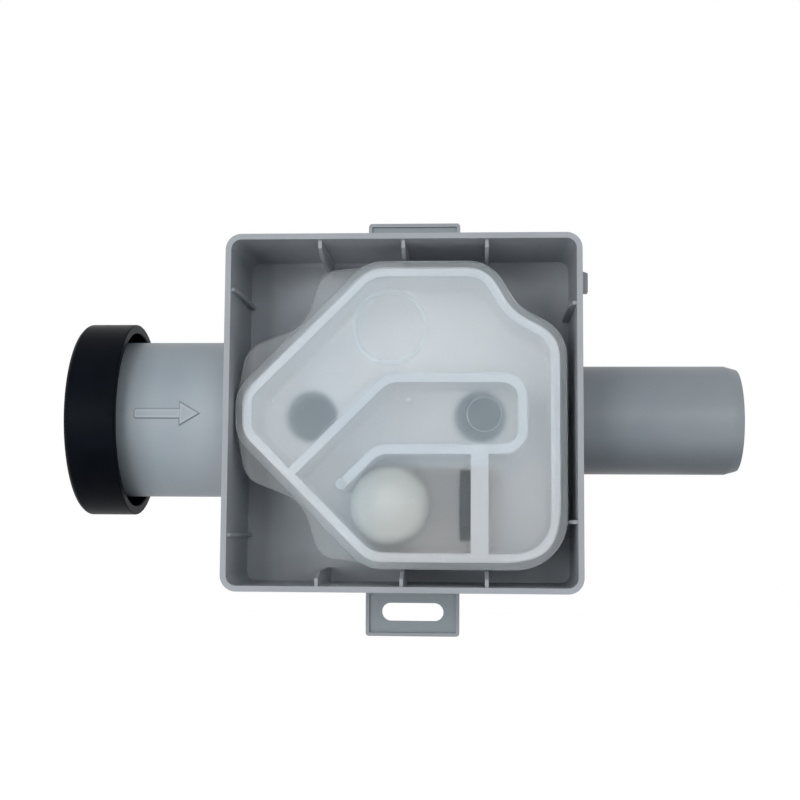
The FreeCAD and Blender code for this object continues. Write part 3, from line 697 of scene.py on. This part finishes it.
def insideShell(finish, x, z, lines):
    # Millimetres inside the outline of the raised shell, negative outside it.
    root = math.sqrt(0.5)
    depth = finish.most(
        insideLine(x, z, lines["notchTop"], lines["notchDeep"]),
        insideLine(x, z, lines["notchDeep"], lines["notchEnd"]),
        lines["notchSoft"],
    )
    for side, soft in (
        (lines["top"] - z, lines["topSoft"]),
        (lines["right"] - x, lines["rightSoft"]),
        (z - lines["bottom"], lines["bottomSoft"]),
        ((x + z + lines["lowerSlant"]) * root, lines["slantSoft"]),
        (x - lines["left"], lines["leftSoft"]),
        ((x - z + lines["upperSlant"]) * root, lines["slantSoft"]),
    ):
        depth = finish.least(depth, side, soft)
    return depth


def clearPatch(finish, x, z, look):
    # 1 in front of the ball's chamber, and a weaker share to its right that fades away upwards.
    low = finish.fall(z, look["clearTop"] - look["clearDrop"], look["clearTop"])
    ballSide = finish.ramp(x, look["clearLeft"] - look["clearSpread"], look["clearLeft"])
    beyond = finish.ramp(x, look["clearRight"], look["clearRight"] + look["clearFade"])
    right = finish.fall(z, look["rightBottom"], look["rightTop"]) * look["rightShare"]
    return low * ballSide * (1.0 - beyond) + right * beyond


def lidVeil(finish, look):
    # The lid is milky over the labyrinth, clearest over the ball's chamber, and thin along its edge.
    x, z = finish.along("X"), finish.along("Z")
    edge = finish.fall(insideShell(finish, x, z, shellLines), look["edgeFrom"], look["edgeTo"])
    fromRing = finish.radius(x, z, look["ringPlace"]) - look["ringRadius"]
    ringLine = look["ringHalf"] ** 2
    ring = finish.fall(fromRing * fromRing, ringLine, look["ringFade"] * ringLine)
    field = (1.0 - clearPatch(finish, x, z, look)) * look["veil"] + look["leastVeil"]
    field = field + ring * look["ringVeil"]
    return finish.most(field * (1.0 - edge * look["edgeClear"]), edge * look["edgeVeil"])


def trayVeil(finish, look):
    # The flange outside the shell is thin enough to see through.
    x, z = finish.along("X"), finish.along("Z")
    inside = finish.ramp(insideShell(finish, x, z, shellLines), look["flangeFrom"], look["flangeTo"])
    return inside * (look["veil"] - look["flangeVeil"]) + look["flangeVeil"]


def trayPaintedShade(finish, look, colour):
    # Painted shade: the tops of the walls are darker as light sinks into them, the tray is darker behind
    # the lid's clear patch, and the plastic in and round the ports is darker.
    x, y, z = (finish.along(axis) for axis in "XYZ")
    tops = finish.fall(y, look["topFrom"], look["topTo"])
    fromAxis = finish.least(*(finish.radius(x, z, axis) for axis in look["bores"]))
    bores = finish.fall(fromAxis, look["boreRadius"], look["boreRadius"] + look["boreSoft"])
    behind = finish.ramp(y, look["boreFrom"], look["boreTo"])
    patch = clearPatch(finish, x, z, look) * look["patchShade"]
    toned = finish.mixColours(tops, colour, look["topShadeColour"])
    toned = finish.mixColours(patch, toned, look["patchColour"])
    return finish.mixColours(bores * behind, toned, look["boreShadeColour"])


milky = {
    "cool": (0.66, 0.85, 0.98),
    "warm": (0.71, 0.87, 0.98),
    "speck": (0.95, 0.96, 0.97),
    "clearCool": (0.975, 0.985, 0.995),
    "clearWarm": (0.99, 0.99, 0.985),
    "clouds": {"scale": 35.0, "detail": 3, "low": 0.3, "high": 0.7},
    "specks": {"scale": 420.0, "detail": 1, "low": 0.70, "high": 0.78},
    "speckShare": 0.5,
    "speckVeil": 0.03,
    "grain": {"scale": 2400.0, "detail": 2},
    "grainDepth": 0.006 * mm,
    "waves": {"scale": 70.0, "detail": 2},
    "waveDepth": 0.06 * mm,
    "frost": 0.19,
    "frostSpread": 0.03,
    "roughness": 0.42,
    "gloss": 0.2,
    "ior": 1.45,
    "clearTop": -13.0,  # the clear patch in front of the ball's chamber, in millimetres
    "clearDrop": 3.5,
    "clearLeft": -2.5,
    "clearSpread": 11.0,
    "clearRight": 24.0,
    "clearFade": 6.0,
    "rightTop": -6.0,
    "rightBottom": -24.0,
    "rightShare": 0.5,
}

coverLid = {
    "node": "cartridge_cover",
    "body": "cartridge",
    "slot": "milky_plastic",
    "edge": 0.3 * mm,
    "steps": 3,
    "look": dict(
        milky,
        veil=0.12,
        leastVeil=0.02,
        edgeFrom=-0.8,  # millimetres inside the shell's outline
        edgeTo=2.6,
        edgeClear=0.8,
        edgeVeil=0.05,
        ringPlace=(-3.85, 23.8),  # X and Z of a faint milky ring, in millimetres
        ringRadius=10.0,
        ringHalf=0.45,
        ringFade=3,  # it has faded away at this multiple of ringHalf squared
        ringVeil=0.09,
    ),
}
makeMoulding("coverLid", coverLid, milkyPlastic("milkyLidPlastic", coverLid["look"], lidVeil))

trayShell = {
    "node": "cartridge_tray",
    "body": "cartridge",
    "slot": "milky_plastic",
    "edge": 0.15 * mm,
    "glueGap": 0.12 * mm,  # between the walls' tops and the lid
    "look": dict(
        milky,
        cool=(0.935, 0.94, 0.95),
        warm=(0.96, 0.96, 0.96),
        clearCool=(0.93, 0.975, 0.985),
        clearWarm=(0.945, 0.98, 0.98),
        topShadeColour=(0.72, 0.75, 0.78),
        topFrom=-56.2,
        topTo=-55.0,
        patchColour=(0.0, 0.0, 0.0),
        patchShade=0.19,
        boreShadeColour=(0.01, 0.07, 0.11),
        bores=((-28.5, 0.9), (21.4, 0.9)),  # X and Z of the ports; painted shade darkens the plastic in and below them
        boreRadius=6.6,
        boreSoft=1.8,
        boreFrom=-32.8,
        boreTo=-32.5,
        veil=0.96,
        flangeVeil=0.03,
        flangeFrom=-0.6,  # millimetres inside the shell's outline
        flangeTo=0.2,
    ),
}


def makeTray(name, settings, material):
    # The fronts of the walls are drawn back from the lid by the thickness of the glue.
    piece = mergedCopy(name, settings)
    front = min(point.co.y for point in piece.data.vertices)
    selectPoints(piece, lambda place: place.y < front + meshing["near"])
    bpy.ops.transform.translate(value=(0, settings["glueGap"], 0))
    closePiece()
    roundEdges(piece, settings)
    smoothFaces(piece)
    finishPiece(piece, settings, material)


trayMaterial = milkyPlastic("milkyTrayPlastic", trayShell["look"], trayVeil, trayPaintedShade)
makeTray("trayShell", trayShell, trayMaterial)


# Float ball with the faint line where its two halves meet, and its rubber seat

floatBall = {
    "node": "float_ball",
    "body": "float",
    "slot": "ball_plastic",
    "segments": 72,
    "rings": 36,
    "seamWide": 0.35 * mm,
    "seamDeep": 0.06 * mm,
    "seamSteps": 2,
    "look": dict(
        greyPlastic,
        dark=(0.56, 0.59, 0.57),
        light=(0.60, 0.63, 0.60),
        worn=(0.65, 0.67, 0.63),
        roughness=0.35,
        gloss=0.4,
        rimFrom=5.5,  # painted light makes it paler towards its outline, in millimetres from its middle
        rimTo=12.0,
        rimLightColour=(0.83, 0.86, 0.82),
    ),
}


def ballPaintedLight(finish, look, colour):
    low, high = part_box(floatBall["node"])
    middle = [(low[axis] + high[axis]) / 2 / mm for axis in (0, 2)]
    fromMiddle = finish.radius(finish.along("X"), finish.along("Z"), middle)
    rimLight = finish.ramp(fromMiddle, look["rimFrom"], look["rimTo"])
    return finish.mixColours(rimLight, colour, look["rimLightColour"])


def makeBall(name, settings, material):
    # The widest ring of points is split into a narrow band, and the middle of that is drawn in.
    low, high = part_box(settings["node"])
    centre = (Vector(low) + Vector(high)) / 2
    radius = (high[0] - low[0]) / 2
    deselectAll()
    bpy.ops.mesh.primitive_uv_sphere_add(
        segments=settings["segments"], ring_count=settings["rings"], radius=radius, location=centre,
    )
    piece = newPiece(name)
    selectPoints(piece, lambda place: abs(place.z - centre.z) < meshing["near"])
    bpy.ops.mesh.bevel(offset=settings["seamWide"], segments=settings["seamSteps"])
    closePiece()
    selectPoints(piece, lambda place: abs(place.z - centre.z) < meshing["near"])
    shrink = 1 - settings["seamDeep"] / radius
    bpy.ops.transform.resize(value=(shrink, shrink, 1), center_override=centre)
    closePiece()
    smoothAll(piece)
    finishPiece(piece, settings, material)


makeBall("floatBall", floatBall, mouldedPlastic("ballPlastic", floatBall["look"], ballPaintedLight))

seatRing = {
    "node": "valve_seat",
    "body": "cartridge",
    "slot": "seat_rubber",
    "edge": 0.3 * mm,
    "steps": 3,
    "look": dict(
        lipSeal["look"],
        dark=(0.012, 0.024, 0.030),
        light=(0.020, 0.034, 0.041),
        worn=(0.04, 0.055, 0.062),
        gloss=0.1,
    ),
}
makeMoulding("seatRing", seatRing, mouldedPlastic("darkSeatRubber", seatRing["look"]))


# Moulding marks on the lid: a fine ring over the outlet port and small gate marks

witnessRing = {
    "body": "cartridge",
    "slot": "milky_plastic",
    "place": (22.5 * mm, -59.6 * mm, -0.5 * mm),
    "radius": 4.75 * mm,
    "wire": 0.10 * mm,
    "flat": 0.5,  # height over width of the wire
    "segments": 96,
    "wireSegments": 12,
    "material": "milkyLidPlastic",
}


def makeWitnessRing(name, settings):
    deselectAll()
    bpy.ops.mesh.primitive_torus_add(
        major_radius=settings["radius"], minor_radius=settings["wire"],
        major_segments=settings["segments"], minor_segments=settings["wireSegments"],
        location=settings["place"], rotation=alongY,
    )
    piece = newPiece(name)
    openPiece(piece)
    centre = (0, settings["place"][1], 0)
    bpy.ops.transform.resize(value=(1, settings["flat"], 1), center_override=centre)
    closePiece()
    smoothAll(piece)
    finishPiece(piece, settings, bpy.data.materials[settings["material"]])


makeWitnessRing("lidWitnessRing", witnessRing)

gateMarks = {
    "body": "cartridge",
    "slot": "milky_plastic",
    # X, Z, front and radius in millimetres; the last sits on the free end of the lower labyrinth wall
    "marks": ((1.4, 3.4, -59.6, 0.7), (-36.4, 2.9, -59.6, 0.7), (-17.0, -19.9, -60.0, 1.5)),
    "sides": 32,
    "height": 0.16 * mm,
    "edge": 0.05 * mm,
    "dimple": 0.25 * mm,  # the width of the rim round it; its depth is half the mark's height
    "material": "milkyLidPlastic",
}


def makeGateMark(name, settings, x, z, front, radius):
    deselectAll()
    bpy.ops.mesh.primitive_cylinder_add(
        vertices=settings["sides"], radius=radius * mm, depth=2 * settings["height"],
        location=(x * mm, front * mm, z * mm), rotation=alongY,
    )
    piece = newPiece(name)
    face = front * mm - settings["height"]
    selectPoints(piece, lambda place: place.y < face + meshing["near"])
    bpy.ops.mesh.inset(thickness=settings["dimple"])
    bpy.ops.transform.translate(value=(0, settings["height"] / 2, 0))
    closePiece()
    roundEdges(piece, settings)
    smoothFaces(piece)
    finishPiece(piece, settings, bpy.data.materials[settings["material"]])


for number, mark in enumerate(gateMarks["marks"], start=1):
    makeGateMark(f"lidGateMark{number}", gateMarks, *mark)


# Floor, light and background

stage = {
    "floor": -250 * mm,
    "size": 6.0,
    "floorColour": (0.82, 0.82, 0.82),
    "floorRough": 0.9,
    "floorGlow": 0.62,
    "white": (1.0, 1.0, 1.0),
    "background": 1.0,  # what the camera sees
    "ambient": 0.44,  # what lights the object
}


def seenRay(finish):  # 1 for a ray that should find a white background
    rays = [
        finish.node("ShaderNodeLightPath", output=f"Is {kind} Ray")
        for kind in ("Camera", "Glossy", "Transmission")
    ]
    return finish.least(rays[0] + rays[1] + rays[2], 1.0)


def addFloor(settings):
    deselectAll()
    bpy.ops.mesh.primitive_plane_add(size=settings["size"], location=(0, 0, settings["floor"]))
    floor = bpy.context.object
    floor.name = "paleFloor"
    finish = Finish("paleFloorPaint")
    finish.set(finish.shader, Base_Color=settings["floorColour"], Roughness=settings["floorRough"])
    dark = finish.node("ShaderNodeEmission", inputs={"Strength": 0.0})
    glow = finish.node("ShaderNodeEmission", inputs={"Strength": settings["floorGlow"]})
    shown = finish.node("ShaderNodeMixShader", inputs={0: seenRay(finish), 1: dark, 2: glow})
    painted = Wire(finish, finish.shader.outputs[0])
    finish.show(finish.node("ShaderNodeAddShader", inputs={0: painted, 1: shown}))
    floor.data.materials.append(finish.material)


class Sky(Finish):  # the same node methods for the world
    def __init__(self, name):
        world = bpy.data.worlds.new(name)
        bpy.context.scene.world = world
        world.use_nodes = True
        self.tree = world.node_tree

    def light(self, colour, strength):
        return self.node("ShaderNodeBackground", inputs={"Color": colour, "Strength": strength})

    def show(self, surface):
        self.plug(self.tree.nodes["World Output"].inputs["Surface"], surface)


def addWorld(settings):
    sky = Sky("studio")
    lit = sky.light(settings["white"], settings["ambient"])
    shown = sky.light(settings["white"], settings["background"])
    sky.show(sky.node("ShaderNodeMixShader", inputs={0: seenRay(sky), 1: lit, 2: shown}))


# Places and sizes in metres, power in watts
lamps = {
    "leftLamp": {"place": (-0.72, -1.5, 0.05), "size": 0.6, "power": 8.3},
    "rightLamp": {"place": (0.62, -1.5, 0.25), "size": 0.6, "power": 5.6},
    "lowLamp": {"place": (-0.70, -1.3, -0.70), "size": 0.7, "power": 5.4},
}


def addLamp(name, settings):
    place = Vector(settings["place"])
    bpy.ops.object.light_add(type="AREA", location=place)
    lamp = bpy.context.object
    lamp.name = name
    lamp.data.size = settings["size"]
    lamp.data.energy = settings["power"]
    lamp.rotation_euler = (-place).to_track_quat("-Z", "Y").to_euler()  # towards the object


addFloor(stage)
addWorld(stage)
for name, settings in lamps.items():
    addLamp(name, settings)
bpy.context.scene.view_settings.view_transform = "Standard"
print("stage lit")
